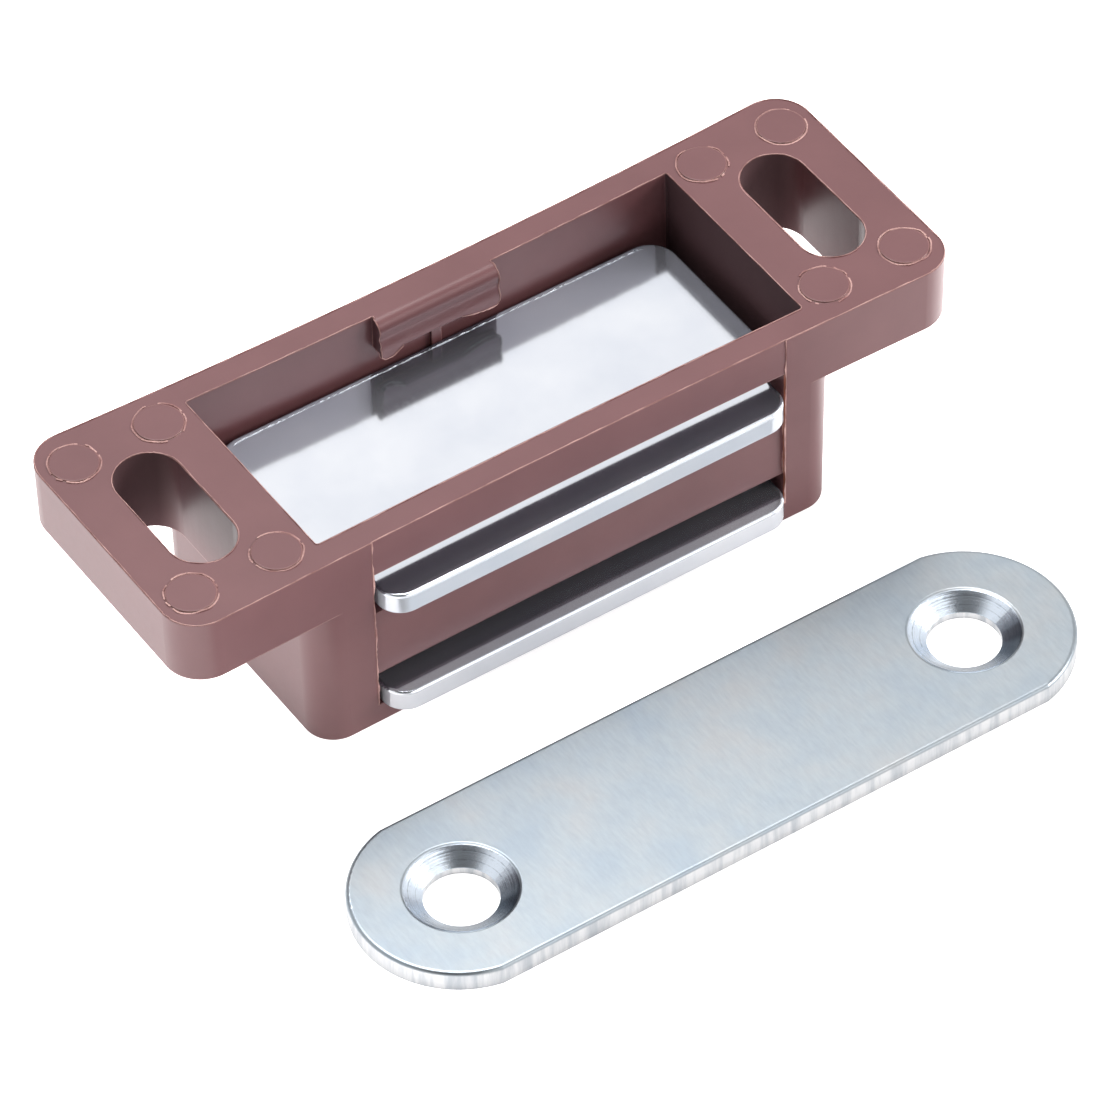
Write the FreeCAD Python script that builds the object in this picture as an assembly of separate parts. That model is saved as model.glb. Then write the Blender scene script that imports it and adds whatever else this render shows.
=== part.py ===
import FreeCAD, Part
import math
import os

# Magnetic cabinet catch and its strike plate, in millimetres.
# Both lie on one surface, z = 0. The catch is behind, mounting face up; the strike is in front.
# X runs along both pieces, Y from the strike to the catch, Z up.
# The origin is the middle of the two pieces together, on the surface they lie on.

# Housing, outside
EAR_SPAN = 58.2
HOUSING_WIDTH = 19.6
HOUSING_HEIGHT = 16.1
EAR_THICKNESS = 4.8
BOX_SPAN = 39.5
FRONT_DRAW_IN = 0.38
BACK_DRAW_IN = 0.75
END_DRAFT_DEG = 1.0
EAR_CORNER_RADIUS = 2.55
BOX_CORNER_RADIUS = 2.1
LOWER_EDGE_RADIUS = 0.15

# Housing, pocket and walls
RAIL_THICKNESS = 1.9
END_WALL = 1.55
FLOOR_THICKNESS = 1.6
POCKET_CORNER_RADIUS = 0.15

# Housing, front openings and the panel between the pillars
OPENING_SPAN = 31.1
OPENING_SHIFT = 0.15
PANEL_RECESS = 0.27
RAIL_RECESS = 0.05
GAP_OVER_UPPER_PLATE = 1.4
GAP_UNDER_UPPER_PLATE = 0.75
GAP_OVER_LOWER_PLATE = 1.0

# Housing, fixing slots through the ears, each with a deeper wall round it under the ear
SLOT_PITCH = 47.3
SLOT_LENGTH = 10.6
SLOT_WIDTH = 4.5
SLOT_WALL = 1.2
SLOT_WALL_DROP = 1.65

# Housing, ejector pin marks standing slightly proud on the ears
MARK_DIAMETER = 3.2
MARK_RISE = 0.08
MARK_OFFSET_X = 3.1
MARK_OFFSET_Y = 6.8

# Housing, snap hook that holds the magnet pack down
HOOK_WIDTH = 9.0
HOOK_SHELF = 0.2
HOOK_ROLL = 0.75
HOOK_VALLEY_DROP = 1.35
HOOK_VALLEY_DEPTH = 0.13
HOOK_DROP = 2.6
HOOK_OVERLAP = 0.65
HOOK_LIP_RADIUS = 0.12
HOOK_LEFT_TAB_WIDTH = 1.6
HOOK_LEFT_TAB_FLANK = 0.8
HOOK_LEFT_TAB_DROP = 0.5
HOOK_RIGHT_TAB_WIDTH = 2.9
HOOK_RIGHT_TAB_FLANK = 1.6
HOOK_RIGHT_TAB_DROP = 0.35
HOOK_TAB_CORNER = 0.25
HOOK_RIB_WIDTH = 0.75
HOOK_RIB_SHIFT = 0.1
HOOK_RIB_CLEARANCE = 0.1

# Pole plates and magnet
PLATE_THICKNESS = 1.5
PLATE_END_GAP = 1.1
PLATE_BACK_GAP = 0.45
PLATE_FRONT_GAP = 0.2
TONGUE_SIDE_GAP = 0.4
TONGUE_REACH = 1.66
TONGUE_CORNER_RADIUS = 1.7
PLATE_BACK_RADIUS = 2.0
PLATE_EDGE_ROLL = 0.25
UPPER_PLATE_SET_BACK = 0.1
MAGNET_LENGTH = 29.0
MAGNET_DEPTH = 12.0
MAGNET_HEIGHT = 7.15

# Strike plate
STRIKE_LENGTH = 52.4
STRIKE_WIDTH = 13.9
STRIKE_END_RADIUS = 7.1
STRIKE_THICKNESS = 1.4
STRIKE_EDGE_ROLL = 0.3
STRIKE_HOLE_PITCH = 38.1
STRIKE_HOLE_DIAMETER = 4.8
COUNTERSINK_DIAMETER = 7.3
COUNTERSINK_DEPTH = 0.9
COUNTERSINK_LIP = 0.1
STRIKE_GAP = 8.3
STRIKE_SHIFT = -0.45

# Room past a face for a cutting tool
CUT = 5.0

# Places worked out from the sizes above
EAR_CORNER_SHARE = 1 - 2 * EAR_CORNER_RADIUS / EAR_SPAN
BACK_REACH = HOUSING_WIDTH - BACK_DRAW_IN * (1 - EAR_CORNER_SHARE ** 2)
SET_DEPTH = BACK_REACH + STRIKE_GAP + STRIKE_WIDTH
STRIKE_Y = (STRIKE_WIDTH - SET_DEPTH) / 2
CATCH_Y = STRIKE_Y + STRIKE_WIDTH / 2 + STRIKE_GAP + HOUSING_WIDTH / 2
FRONT_Y = CATCH_Y - HOUSING_WIDTH / 2
BACK_Y = CATCH_Y + HOUSING_WIDTH / 2
EAR_Z = HOUSING_HEIGHT - EAR_THICKNESS
POCKET_SPAN = BOX_SPAN - 2 * END_WALL
POCKET_BACK_Y = BACK_Y - BACK_DRAW_IN - RAIL_THICKNESS
LOWER_PLATE_Z = FLOOR_THICKNESS
MAGNET_Z = LOWER_PLATE_Z + PLATE_THICKNESS
UPPER_PLATE_Z = MAGNET_Z + MAGNET_HEIGHT
UPPER_PLATE_TOP = UPPER_PLATE_Z + PLATE_THICKNESS
PLATE_BACK_Y = POCKET_BACK_Y - PLATE_BACK_GAP
PLATE_SHOULDER_Y = FRONT_Y + FRONT_DRAW_IN + RAIL_THICKNESS + PLATE_FRONT_GAP
TONGUE_Y = FRONT_Y + FRONT_DRAW_IN - TONGUE_REACH


def vec(x, y, z):
    return FreeCAD.Vector(x, y, z)


def prism(points, direction):
    """Extrude a closed outline of corner points along a direction."""
    wire = Part.makePolygon(points + [points[0]])
    return Part.Face(wire).extrude(direction)


def box_between(low, high):
    """Block from its lowest to its highest corner."""
    return Part.makeBox(high.x - low.x, high.y - low.y, high.z - low.z, low)


def bowed_prism(half_length, front_inset, back_inset, z_low, z_high):
    """Block whose long walls draw in as the housing's do, each moved inwards by its inset."""
    front = FRONT_Y + front_inset
    back = BACK_Y - back_inset
    # the same arcs as over the whole length, cut off at this half length
    full = EAR_SPAN / 2 + CUT
    front_arc = long_arc(front, FRONT_DRAW_IN, z_low, full)
    back_arc = long_arc(back, -BACK_DRAW_IN, z_low, full)
    left = Part.makeLine(front_arc.Vertexes[0].Point, back_arc.Vertexes[0].Point)
    right = Part.makeLine(front_arc.Vertexes[-1].Point, back_arc.Vertexes[-1].Point)
    wire = Part.Wire(Part.__sortEdges__([front_arc, right, back_arc, left]))
    block = Part.Face(wire).extrude(vec(0, 0, z_high - z_low))
    low = vec(-half_length, front - CUT, z_low - CUT)
    high = vec(half_length, back + CUT, z_high + CUT)
    return block.common(box_between(low, high))


def long_arc(y_end, draw_in, z, half_reach):
    """Shallow arc along X: y_end at the ear ends, draw_in further in at mid length."""
    half = EAR_SPAN / 2
    radius = (half ** 2 + draw_in ** 2) / (2 * abs(draw_in))
    centre_y = y_end + draw_in - math.copysign(radius, draw_in)

    def point(x):
        rise = math.sqrt(radius ** 2 - x ** 2)
        return vec(x, centre_y + math.copysign(rise, draw_in), z)

    return Part.Arc(point(-half_reach), point(0), point(half_reach)).toShape()


def slot_prism(centre, length, width, z_low, z_high):
    """Straight slot with round ends that runs along Y."""
    radius = width / 2
    straight = length / 2 - radius
    left_low = vec(centre.x - radius, centre.y - straight, z_low)
    left_high = vec(centre.x - radius, centre.y + straight, z_low)
    right_low = vec(centre.x + radius, centre.y - straight, z_low)
    right_high = vec(centre.x + radius, centre.y + straight, z_low)
    top = vec(centre.x, centre.y + length / 2, z_low)
    bottom = vec(centre.x, centre.y - length / 2, z_low)
    edges = [
        Part.makeLine(left_low, left_high),
        Part.Arc(left_high, top, right_high).toShape(),
        Part.makeLine(right_high, right_low),
        Part.Arc(right_low, bottom, left_low).toShape(),
    ]
    return Part.Face(Part.Wire(edges)).extrude(vec(0, 0, z_high - z_low))


def edges_where(shape, test):
    """Edges whose two ends both pass a test."""
    found = []
    for edge in shape.Edges:
        ends = [vertex.Point for vertex in edge.Vertexes]
        if len(ends) == 2 and all(test(p) for p in ends):
            found.append(edge)
    return found


def upright(edge):
    """True for an edge that stands, leaning no more than its wall's draft."""
    a = edge.Vertexes[0].Point
    b = edge.Vertexes[-1].Point
    return abs(b.z - a.z) > 0.9 * edge.Length


def housing_outside():
    """Box with an ear at each end, before anything is cut out of it."""
    lean = math.tan(math.radians(END_DRAFT_DEG))
    ear_x = EAR_SPAN / 2
    box_x = BOX_SPAN / 2
    ear_foot = ear_x - EAR_THICKNESS * lean
    box_foot = box_x - EAR_Z * lean
    y = FRONT_Y - CUT
    outline = [
        vec(-ear_x, y, HOUSING_HEIGHT),
        vec(-ear_foot, y, EAR_Z),
        vec(-box_x, y, EAR_Z),
        vec(-box_foot, y, 0),
        vec(box_foot, y, 0),
        vec(box_x, y, EAR_Z),
        vec(ear_foot, y, EAR_Z),
        vec(ear_x, y, HOUSING_HEIGHT),
    ]
    tee = prism(outline, vec(0, HOUSING_WIDTH + 2 * CUT, 0))
    body = tee.common(bowed_prism(ear_x + CUT / 2, 0, 0, 0, HOUSING_HEIGHT))
    ear_edges = [e for e in body.Edges if upright(e) and abs(e.CenterOfMass.x) > box_x + CUT / 2]
    body = body.makeFillet(EAR_CORNER_RADIUS, ear_edges)
    box_edges = [e for e in body.Edges if upright(e) and e.CenterOfMass.z < EAR_Z]
    body = body.makeFillet(BOX_CORNER_RADIUS, box_edges)
    floor_edges = edges_where(body, lambda p: abs(p.z) < 1e-4)
    return body.makeFillet(LOWER_EDGE_RADIUS, floor_edges)


def pocket():
    """Space for the magnet pack, open at the mounting face."""
    half = POCKET_SPAN / 2
    space = bowed_prism(half, RAIL_THICKNESS, RAIL_THICKNESS, FLOOR_THICKNESS, HOUSING_HEIGHT + CUT)
    corners = [e for e in space.Edges if upright(e)]
    return space.makeFillet(POCKET_CORNER_RADIUS, corners)


def front_opening(z_low, z_high):
    """Slot through the front wall for one tongue."""
    left = OPENING_SHIFT - OPENING_SPAN / 2
    right = OPENING_SHIFT + OPENING_SPAN / 2
    inner_y = FRONT_Y + FRONT_DRAW_IN + RAIL_THICKNESS + PLATE_FRONT_GAP
    return box_between(vec(left, FRONT_Y - CUT, z_low), vec(right, inner_y, z_high))


def front_layer(recess, z_low, z_high):
    """Thin layer taken off the front wall between the two pillars."""
    front = front_opening(z_low, z_high)
    keep = bowed_prism(OPENING_SPAN / 2 + CUT, recess, 0, z_low - CUT, z_high + CUT)
    return front.cut(keep)


def snap_hook():
    """Nose on the back rail that hangs over the upper plate, with a tab and a rib below it."""
    top = HOUSING_HEIGHT
    wall_y = POCKET_BACK_Y + RAIL_THICKNESS / 2
    shelf_y = POCKET_BACK_Y - HOOK_SHELF
    nose_y = shelf_y - HOOK_ROLL
    lip_y = PLATE_BACK_Y + UPPER_PLATE_SET_BACK - HOOK_OVERLAP
    lip_z = top - HOOK_DROP
    x = -HOOK_WIDTH / 2
    bend = HOOK_ROLL * math.sin(math.pi / 4)
    shelf = vec(x, shelf_y, top)
    roll = vec(x, shelf_y - bend, top - HOOK_ROLL + bend)
    nose = vec(x, nose_y, top - HOOK_ROLL)
    valley = vec(x, nose_y + HOOK_VALLEY_DEPTH, top - HOOK_VALLEY_DROP)
    lip = vec(x, lip_y, lip_z + HOOK_LIP_RADIUS)
    face = Part.BSplineCurve()
    face.interpolate(Points=[nose, valley, lip], InitialTangent=vec(0, 0, -1), FinalTangent=vec(0, 0, -1))
    lip_turn = vec(x, lip_y + 0.3 * HOOK_LIP_RADIUS, lip_z + 0.3 * HOOK_LIP_RADIUS)
    under = vec(x, lip_y + HOOK_LIP_RADIUS, lip_z)
    root = vec(x, wall_y, lip_z)
    back = vec(x, wall_y, top)
    edges = [
        Part.makeLine(back, shelf),
        Part.Arc(shelf, roll, nose).toShape(),
        face.toShape(),
        Part.Arc(lip, lip_turn, under).toShape(),
        Part.makeLine(under, root),
        Part.makeLine(root, back),
    ]
    body = Part.Face(Part.Wire(edges)).extrude(vec(HOOK_WIDTH, 0, 0))
    tabs = [
        hook_tab(-1, HOOK_LEFT_TAB_WIDTH, HOOK_LEFT_TAB_FLANK, HOOK_LEFT_TAB_DROP, lip_y, lip_z),
        hook_tab(1, HOOK_RIGHT_TAB_WIDTH, HOOK_RIGHT_TAB_FLANK, HOOK_RIGHT_TAB_DROP, lip_y, lip_z),
    ]
    return body.fuse(tabs + [hook_rib(wall_y, lip_z)])


def hook_tab(side, width, flank, drop, lip_y, lip_z):
    """End of the lip that hangs lower, its inner flank sloping up to the plain lip."""
    outer = HOOK_WIDTH / 2
    inner = outer - width
    low = lip_z - drop
    high = lip_z + HOOK_LIP_RADIUS
    outline = [
        vec(side * outer, lip_y, high),
        vec(side * outer, lip_y, low + HOOK_TAB_CORNER),
        vec(side * (outer - HOOK_TAB_CORNER), lip_y, low),
        vec(side * (inner + flank), lip_y, low),
        vec(side * inner, lip_y, lip_z),
        vec(side * inner, lip_y, high),
    ]
    return prism(outline, vec(0, 2 * HOOK_LIP_RADIUS, 0))


def hook_rib(wall_y, lip_z):
    """Upright rib on the back wall, just behind the plates."""
    behind_plate = PLATE_BACK_Y + UPPER_PLATE_SET_BACK + HOOK_RIB_CLEARANCE
    low = vec(HOOK_RIB_SHIFT - HOOK_RIB_WIDTH / 2, behind_plate, FLOOR_THICKNESS)
    high = vec(HOOK_RIB_SHIFT + HOOK_RIB_WIDTH / 2, wall_y, lip_z)
    return box_between(low, high)


def slot_walls():
    """Wall round each slot that reaches below the ear, joined to the box."""
    walls = []
    low = EAR_Z - SLOT_WALL_DROP
    high = EAR_Z + EAR_THICKNESS / 2
    reach = SLOT_LENGTH / 2 + SLOT_WALL
    for side in (-1, 1):
        centre = vec(side * SLOT_PITCH / 2, CATCH_Y, 0)
        collar = slot_prism(centre, 2 * reach, SLOT_WIDTH + 2 * SLOT_WALL, low, high)
        near = side * (BOX_SPAN / 2 - END_WALL / 2)
        left = min(near, centre.x)
        right = max(near, centre.x)
        web = box_between(vec(left, CATCH_Y - reach, low), vec(right, CATCH_Y + reach, high))
        walls += [collar, web]
    return walls


def ear_slots():
    """The two fixing slots."""
    slots = []
    for side in (-1, 1):
        centre = vec(side * SLOT_PITCH / 2, CATCH_Y, 0)
        slots.append(slot_prism(centre, SLOT_LENGTH, SLOT_WIDTH, EAR_Z - CUT, HOUSING_HEIGHT + CUT))
    return slots


def ejector_marks():
    """Eight round marks, four around each slot."""
    marks = []
    for side in (-1, 1):
        for dx in (-MARK_OFFSET_X, MARK_OFFSET_X):
            for dy in (-MARK_OFFSET_Y, MARK_OFFSET_Y):
                foot = vec(side * SLOT_PITCH / 2 + dx, CATCH_Y + dy, EAR_Z + EAR_THICKNESS / 2)
                marks.append(Part.makeCylinder(MARK_DIAMETER / 2, EAR_THICKNESS / 2 + MARK_RISE, foot))
    return marks


def housing():
    """One-piece moulded housing."""
    body = housing_outside().fuse(slot_walls())
    upper_low = UPPER_PLATE_Z - GAP_UNDER_UPPER_PLATE
    upper_high = UPPER_PLATE_TOP + GAP_OVER_UPPER_PLATE
    lower_high = MAGNET_Z + GAP_OVER_LOWER_PLATE
    cuts = [
        pocket(),
        front_opening(FLOOR_THICKNESS, lower_high),
        front_opening(upper_low, upper_high),
        front_layer(PANEL_RECESS, FLOOR_THICKNESS, upper_high),
        front_layer(RAIL_RECESS, upper_high, HOUSING_HEIGHT + CUT),
    ]
    body = body.cut(cuts + ear_slots())
    body = body.fuse([snap_hook()] + ejector_marks())
    return body.removeSplitter()


def pole_plate(z, set_back):
    """Flat steel plate with a tongue that reaches out through the front wall."""
    body_x = POCKET_SPAN / 2 - PLATE_END_GAP
    tongue_left = OPENING_SHIFT - OPENING_SPAN / 2 + TONGUE_SIDE_GAP
    tongue_right = OPENING_SHIFT + OPENING_SPAN / 2 - TONGUE_SIDE_GAP
    outline = [
        vec(-body_x, PLATE_SHOULDER_Y, z),
        vec(tongue_left, PLATE_SHOULDER_Y, z),
        vec(tongue_left, TONGUE_Y, z),
        vec(tongue_right, TONGUE_Y, z),
        vec(tongue_right, PLATE_SHOULDER_Y, z),
        vec(body_x, PLATE_SHOULDER_Y, z),
        vec(body_x, PLATE_BACK_Y, z),
        vec(-body_x, PLATE_BACK_Y, z),
    ]
    plate = prism(outline, vec(0, 0, PLATE_THICKNESS))
    front = [e for e in plate.Edges if upright(e) and abs(e.CenterOfMass.y - TONGUE_Y) < 1e-6]
    plate = plate.makeFillet(TONGUE_CORNER_RADIUS, front)
    back = [e for e in plate.Edges if upright(e) and abs(e.CenterOfMass.y - PLATE_BACK_Y) < 1e-6]
    plate = plate.makeFillet(PLATE_BACK_RADIUS, back)
    rims = [e for e in plate.Edges if on_level(e, z + PLATE_THICKNESS)]
    plate = plate.makeFillet(PLATE_EDGE_ROLL, rims)
    plate.translate(vec(0, set_back, 0))
    return plate


def on_level(edge, z):
    """True for an edge that lies flat at one height."""
    return all(abs(vertex.Point.z - z) < 1e-6 for vertex in edge.Vertexes)


def magnet():
    """Plain ferrite block between the two plates."""
    middle_y = (PLATE_BACK_Y + PLATE_SHOULDER_Y + UPPER_PLATE_SET_BACK) / 2
    low = vec(-MAGNET_LENGTH / 2, middle_y - MAGNET_DEPTH / 2, MAGNET_Z)
    return Part.makeBox(MAGNET_LENGTH, MAGNET_DEPTH, MAGNET_HEIGHT, low)


def strike():
    """Flat strip with stamped round ends and two countersunk screw holes."""
    half_width = STRIKE_WIDTH / 2
    tip = STRIKE_LENGTH / 2
    # each end arc is a little wider than the strip and meets its long edges in a slight corner
    straight = tip - STRIKE_END_RADIUS + math.sqrt(STRIKE_END_RADIUS ** 2 - half_width ** 2)
    corners = [
        vec(-straight, -half_width, 0),
        vec(straight, -half_width, 0),
        vec(straight, half_width, 0),
        vec(-straight, half_width, 0),
    ]
    edges = [
        Part.makeLine(corners[0], corners[1]),
        Part.Arc(corners[1], vec(tip, 0, 0), corners[2]).toShape(),
        Part.makeLine(corners[2], corners[3]),
        Part.Arc(corners[3], vec(-tip, 0, 0), corners[0]).toShape(),
    ]
    plate = Part.Face(Part.Wire(edges)).extrude(vec(0, 0, STRIKE_THICKNESS))
    rim = [e for e in plate.Edges if on_level(e, STRIKE_THICKNESS)]
    plate = plate.makeFillet(STRIKE_EDGE_ROLL, rim)
    for side in (-1, 1):
        plate = plate.cut(countersunk_hole(side * STRIKE_HOLE_PITCH / 2))
    plate.translate(vec(STRIKE_SHIFT, STRIKE_Y, 0))
    return plate


def countersunk_hole(x):
    """Turned cutter for one screw hole, with the sink's rim slightly eased."""
    hole = STRIKE_HOLE_DIAMETER / 2
    rim = COUNTERSINK_DIAMETER / 2
    top = STRIKE_THICKNESS
    land = top - COUNTERSINK_DEPTH
    profile = [
        vec(0, 0, -CUT),
        vec(hole, 0, -CUT),
        vec(hole, 0, land),
        vec(rim - COUNTERSINK_LIP, 0, top - COUNTERSINK_LIP),
        vec(rim + COUNTERSINK_LIP, 0, top),
        vec(rim + COUNTERSINK_LIP, 0, top + CUT),
        vec(0, 0, top + CUT),
    ]
    face = Part.Face(Part.makePolygon(profile + [profile[0]]))
    cutter = face.revolve(vec(0, 0, 0), vec(0, 0, 1), 360)
    cutter.translate(vec(x, 0, 0))
    return cutter


def main():
    os.makedirs("parts", exist_ok=True)
    pieces = {
        "housing": housing(),
        "upper_pole_plate": pole_plate(UPPER_PLATE_Z, UPPER_PLATE_SET_BACK),
        "lower_pole_plate": pole_plate(LOWER_PLATE_Z, 0),
        "magnet": magnet(),
        "strike_plate": strike(),
    }
    for name, shape in pieces.items():
        shape.exportStep(os.path.join("parts", name + ".step"))
        box = shape.BoundBox
        print(name, shape.isValid(), len(shape.Solids), round(shape.Volume, 1),
              [round(v, 2) for v in (box.XMin, box.XMax, box.YMin, box.YMax, box.ZMin, box.ZMax)])


main()
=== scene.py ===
import math

import bmesh
import bpy
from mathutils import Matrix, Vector, noise


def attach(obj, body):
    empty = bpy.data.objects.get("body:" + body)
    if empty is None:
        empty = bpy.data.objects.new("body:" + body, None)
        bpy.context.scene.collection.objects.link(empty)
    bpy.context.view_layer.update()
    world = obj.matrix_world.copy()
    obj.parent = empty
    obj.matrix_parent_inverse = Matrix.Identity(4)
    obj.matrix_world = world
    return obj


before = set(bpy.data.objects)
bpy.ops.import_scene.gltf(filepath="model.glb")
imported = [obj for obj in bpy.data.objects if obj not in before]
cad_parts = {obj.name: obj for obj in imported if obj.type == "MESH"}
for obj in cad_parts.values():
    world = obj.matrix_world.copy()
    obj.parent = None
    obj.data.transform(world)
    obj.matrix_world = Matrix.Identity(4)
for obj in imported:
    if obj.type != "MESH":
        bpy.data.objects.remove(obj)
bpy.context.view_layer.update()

MM = 0.001

# Places on the solids, in metres: the catch's middle is at x = 0
FACE_Z = 16.1 * MM
CATCH_Y = 11.163 * MM
SLOT_X = 23.65 * MM
SLOT_REACH = 5.5 * MM
POCKET_HALF_LENGTH = 17.3 * MM
POCKET_END_X = 17.9 * MM
HOOK_HALF_LENGTH = 4.8 * MM
PANEL_Z = 6.75 * MM
STEP_X = 15.7 * MM
OPENING_X = 0.15 * MM
OPENING_HALF_LENGTH = 15.55 * MM
STRIKE_X = -0.45 * MM
STRIKE_Y = -13.887 * MM
STRIKE_HOLE_PITCH = 38.1 * MM
SINK_RADIUS = 3.62 * MM
CLEAR_ANGLE = 0.6
SWAY_SEED = 1


# Shader helpers

def add_node(tree, kind, place, **settings):
    node = tree.nodes.new(kind)
    node.location = place
    for name, value in settings.items():
        setattr(node, name, value)
    return node


def ramp(tree, place, stops):
    node = add_node(tree, "ShaderNodeValToRGB", place)
    elements = node.color_ramp.elements
    while len(elements) < len(stops):
        elements.new(0.5)
    for element, (position, colour) in zip(elements, stops):
        element.position = position
        element.color = (*colour, 1.0)
    return node


def spread(node, low, high, to_low=0.0, to_high=1.0):
    """Set what a Map Range node takes in and puts out."""
    values = {"From Min": low, "From Max": high, "To Min": to_low, "To Max": to_high}
    for name, value in values.items():
        node.inputs[name].default_value = value


def grey(value):
    return (value, value, value)


def new_group(name, inputs, outputs):
    tree = bpy.data.node_groups.new(name, "ShaderNodeTree")
    for label, kind, value in inputs:
        socket = tree.interface.new_socket(label, in_out="INPUT", socket_type=kind)
        socket.default_value = value
    for label, kind in outputs:
        tree.interface.new_socket(label, in_out="OUTPUT", socket_type=kind)
    return tree, add_node(tree, "NodeGroupInput", (-900, 0)), add_node(tree, "NodeGroupOutput", (900, 0))


def use_group(tree, group, place, **values):
    node = add_node(tree, "ShaderNodeGroup", place, node_tree=group)
    for name, value in values.items():
        node.inputs[name].default_value = value
    return node


def new_material(name):
    material = bpy.data.materials.new(name)
    material.use_nodes = True
    tree = material.node_tree
    return material, tree, tree.nodes["Principled BSDF"]


# Shared effects

def make_rounded_rim_highlight():
    """Rounded normal over sharp edges, and a mask that is white on outer edges, used for a painted edge
    highlight.
    """
    tree, given, result = new_group(
        "rounded_rim_highlight",
        [("Radius", "NodeSocketFloat", 0.0001), ("Breakup", "NodeSocketFloat", 0.3)],
        [("Rim", "NodeSocketFloat"), ("Normal", "NodeSocketVector")],
    )
    bevel = add_node(tree, "ShaderNodeBevel", (-600, 100), samples=6)
    geometry = add_node(tree, "ShaderNodeNewGeometry", (-600, -200))
    turn = add_node(tree, "ShaderNodeVectorMath", (-350, 0), operation="DOT_PRODUCT")
    sharp = add_node(tree, "ShaderNodeMapRange", (-150, 0))
    spread(sharp, 0.985, 0.80)
    place = add_node(tree, "ShaderNodeTexCoord", (-600, -450))
    spots = add_node(tree, "ShaderNodeTexNoise", (-350, -450))
    spots.inputs["Scale"].default_value = 900
    spots.inputs["Detail"].default_value = 3
    level = add_node(tree, "ShaderNodeMapRange", (-150, -450))
    spread(level, 0.35, 0.6)
    keep = add_node(tree, "ShaderNodeMapRange", (100, -300))
    both = add_node(tree, "ShaderNodeMath", (350, 0), operation="MULTIPLY")
    less = add_node(tree, "ShaderNodeMath", (-150, -700), operation="SUBTRACT")
    less.inputs[0].default_value = 1.0
    link = tree.links.new
    link(given.outputs["Radius"], bevel.inputs["Radius"])
    link(bevel.outputs["Normal"], turn.inputs[0])
    link(geometry.outputs["Normal"], turn.inputs[1])
    link(turn.outputs["Value"], sharp.inputs["Value"])
    link(place.outputs["Object"], spots.inputs["Vector"])
    link(spots.outputs["Fac"], level.inputs["Value"])
    link(level.outputs["Result"], keep.inputs["Value"])
    link(given.outputs["Breakup"], less.inputs[1])
    link(less.outputs["Value"], keep.inputs["To Min"])
    link(sharp.outputs["Result"], both.inputs[0])
    link(keep.outputs["Result"], both.inputs[1])
    link(both.outputs["Value"], result.inputs["Rim"])
    link(bevel.outputs["Normal"], result.inputs["Normal"])
    return tree


def make_soft_mottle():
    """Broad clouds and fine specks, each a value round the middle."""
    tree, given, result = new_group(
        "soft_mottle",
        [("Broad", "NodeSocketFloat", 120.0), ("Fine", "NodeSocketFloat", 2500.0)],
        [("Cloud", "NodeSocketFloat"), ("Speck", "NodeSocketFloat")],
    )
    place = add_node(tree, "ShaderNodeTexCoord", (-700, 0))
    broad = add_node(tree, "ShaderNodeTexNoise", (-350, 150))
    broad.inputs["Detail"].default_value = 4
    fine = add_node(tree, "ShaderNodeTexNoise", (-350, -200))
    fine.inputs["Detail"].default_value = 3
    link = tree.links.new
    link(place.outputs["Object"], broad.inputs["Vector"])
    link(place.outputs["Object"], fine.inputs["Vector"])
    link(given.outputs["Broad"], broad.inputs["Scale"])
    link(given.outputs["Fine"], fine.inputs["Scale"])
    link(broad.outputs["Fac"], result.inputs["Cloud"])
    link(fine.outputs["Fac"], result.inputs["Speck"])
    return tree


def make_drawn_grain():
    """Fine parallel lines along one axis: the stretch is short along the lines."""
    tree, given, result = new_group(
        "drawn_grain",
        [("Stretch", "NodeSocketVector", (1.0, 1.0, 1.0)), ("Scale", "NodeSocketFloat", 1.0)],
        [("Lines", "NodeSocketFloat")],
    )
    place = add_node(tree, "ShaderNodeTexCoord", (-700, 0))
    pull = add_node(tree, "ShaderNodeVectorMath", (-450, 0), operation="MULTIPLY")
    lines = add_node(tree, "ShaderNodeTexNoise", (-200, 0))
    lines.inputs["Detail"].default_value = 5
    lines.inputs["Roughness"].default_value = 0.6
    link = tree.links.new
    link(place.outputs["Object"], pull.inputs[0])
    link(given.outputs["Stretch"], pull.inputs[1])
    link(pull.outputs["Vector"], lines.inputs["Vector"])
    link(given.outputs["Scale"], lines.inputs["Scale"])
    link(lines.outputs["Fac"], result.inputs["Lines"])
    return tree


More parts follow.
